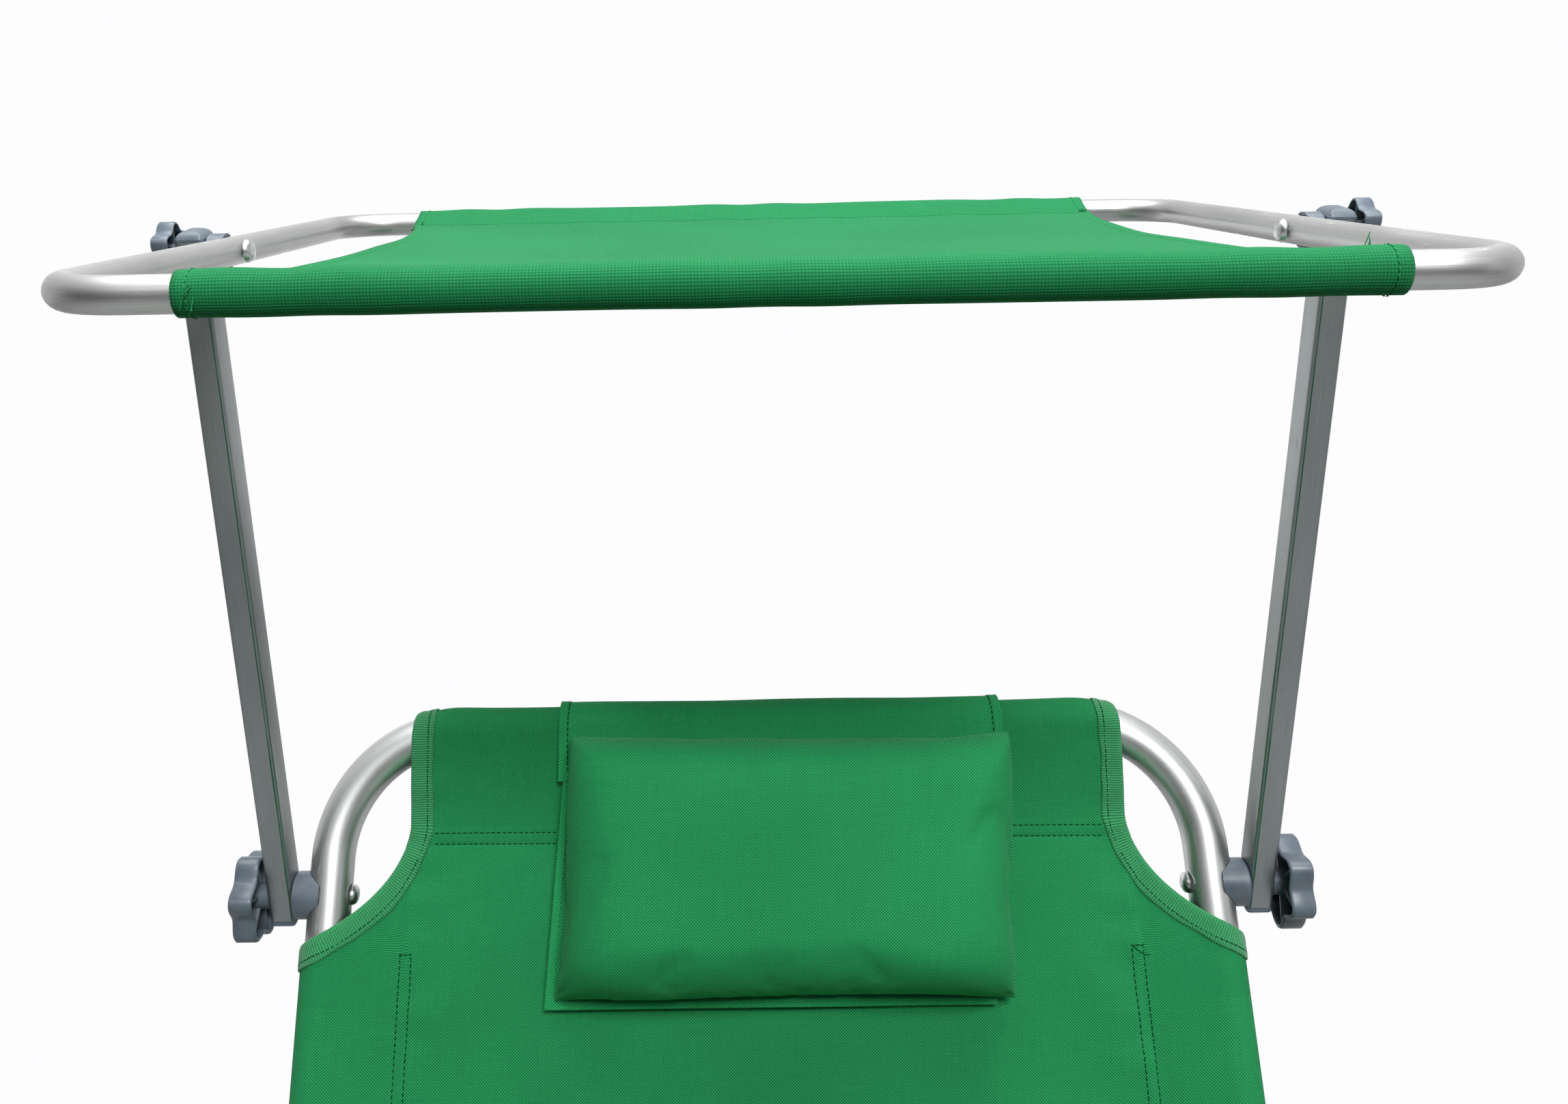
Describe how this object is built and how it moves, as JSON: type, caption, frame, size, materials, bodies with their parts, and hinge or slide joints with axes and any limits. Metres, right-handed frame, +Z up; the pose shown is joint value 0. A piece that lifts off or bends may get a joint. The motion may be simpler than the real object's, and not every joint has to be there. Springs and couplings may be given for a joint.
{
  "type": "sun lounger with canopy",
  "caption": "Folding sun lounger of bent aluminium tube and green cloth, with a ratchet backrest, a head pillow, folding legs and a tilting canopy on arms clamped by star knobs.",
  "frame": {"origin": "on the floor, under the middle of the whole object as it is stored, with the backrest raised and the canopy level", "axes": "+Z up; +Y towards the head end; +X to the left of a person who lies on it, which is the right of someone who looks along +Y"},
  "size_m": [0.688, 1.659, 1.2159],
  "materials": {
    "aluminium": "satin anodised",
    "arm_aluminium": "satin anodised",
    "cloth": "woven polyester",
    "plastic": "semi-gloss moulded",
    "steel": "zinc plated"
  },
  "bodies": {
    "seat": {"seat_tube_right": "aluminium", "seat_tube_left": "aluminium", "seat_sling": "cloth", "back_ratchet_seat_side_right": "plastic", "back_ratchet_seat_side_left": "plastic", "back_ratchet_pin_right": "steel", "back_ratchet_pin_left": "steel", "knee_ratchet_seat_side_right": "plastic", "knee_ratchet_seat_side_left": "plastic", "knee_ratchet_pin_right": "steel", "knee_ratchet_pin_left": "steel", "seat_leg_bracket_right": "steel", "seat_leg_bracket_left": "steel"},
    "back": {"back_frame": "aluminium", "back_sling": "cloth", "back_ratchet_back_side_right": "plastic", "back_ratchet_back_side_left": "plastic", "head_leg_bracket_right": "steel", "head_leg_bracket_left": "steel", "pillow": "cloth", "pillow_flap": "cloth", "arm_spacer_right": "plastic", "arm_spacer_left": "plastic", "arm_bolt_right": "steel", "arm_bolt_left": "steel"},
    "arms": {"arm_right": "arm_aluminium", "arm_left": "arm_aluminium", "arm_plug_right": "plastic", "arm_plug_left": "plastic", "arm_cap_right": "plastic", "arm_cap_left": "plastic"},
    "canopy": {"canopy_frame": "aluminium", "canopy_cloth": "cloth", "canopy_spacer_right": "plastic", "canopy_spacer_left": "plastic", "canopy_bolt_right": "steel", "canopy_bolt_left": "steel"},
    "foot": {"foot_frame": "aluminium", "foot_sling": "cloth", "knee_ratchet_foot_side_right": "plastic", "knee_ratchet_foot_side_left": "plastic", "foot_leg_bracket_right": "steel", "foot_leg_bracket_left": "steel"},
    "seat_leg": {"seat_leg": "aluminium", "seat_glide_right": "plastic", "seat_glide_left": "plastic"},
    "foot_leg": {"foot_leg": "aluminium", "foot_glide_right": "plastic", "foot_glide_left": "plastic"},
    "head_leg": {"head_leg": "aluminium", "head_glide_right": "plastic", "head_glide_left": "plastic"},
    "arm_knob_right": {"arm_knob_right": "plastic"},
    "arm_knob_left": {"arm_knob_left": "plastic"},
    "canopy_knob_right": {"canopy_knob_right": "plastic"},
    "canopy_knob_left": {"canopy_knob_left": "plastic"}
  },
  "joints": [
    {"name": "back_recline", "type": "hinge", "parent": "seat", "child": "back", "pos_m": [0, 0.34641, 0.3], "axis": [1, 0, 0], "range_deg": [-60, 80]},
    {"name": "foot_fold", "type": "hinge", "parent": "seat", "child": "foot", "pos_m": [0, -0.25359, 0.3], "axis": [1, 0, 0], "range_deg": [-175, 0]},
    {"name": "seat_leg_fold", "type": "hinge", "parent": "seat", "child": "seat_leg", "pos_m": [0, 0.28041, 0.244], "axis": [-1, 0, 0], "range_deg": [0, 108]},
    {"name": "foot_leg_fold", "type": "hinge", "parent": "foot", "child": "foot_leg", "pos_m": [0, -0.71359, 0.244], "axis": [1, 0, 0], "range_deg": [0, 108]},
    {"name": "head_leg_fold", "type": "hinge", "parent": "back", "child": "head_leg", "pos_m": [0, 0.58991, 0.60975], "axis": [1, 0, 0], "range_deg": [0, 108]},
    {"name": "arms_tilt", "type": "hinge", "parent": "back", "child": "arms", "pos_m": [0, 0.63723, 0.76372], "axis": [-1, 0, 0], "range_deg": [-95, 120]},
    {"name": "canopy_tilt", "type": "hinge", "parent": "arms", "child": "canopy", "pos_m": [0, 0.59059, 1.18615], "axis": [1, 0, 0], "continuous": true},
    {"name": "arm_knob_right_turn", "type": "hinge", "parent": "back", "child": "arm_knob_right", "pos_m": [0.334, 0.63723, 0.76372], "axis": [1, 0, 0], "continuous": true},
    {"name": "arm_knob_left_turn", "type": "hinge", "parent": "back", "child": "arm_knob_left", "pos_m": [-0.334, 0.63723, 0.76372], "axis": [1, 0, 0], "continuous": true},
    {"name": "canopy_knob_right_turn", "type": "hinge", "parent": "canopy", "child": "canopy_knob_right", "pos_m": [0.334, 0.59059, 1.18615], "axis": [1, 0, 0], "continuous": true},
    {"name": "canopy_knob_left_turn", "type": "hinge", "parent": "canopy", "child": "canopy_knob_left", "pos_m": [-0.334, 0.59059, 1.18615], "axis": [1, 0, 0], "continuous": true}
  ]
}
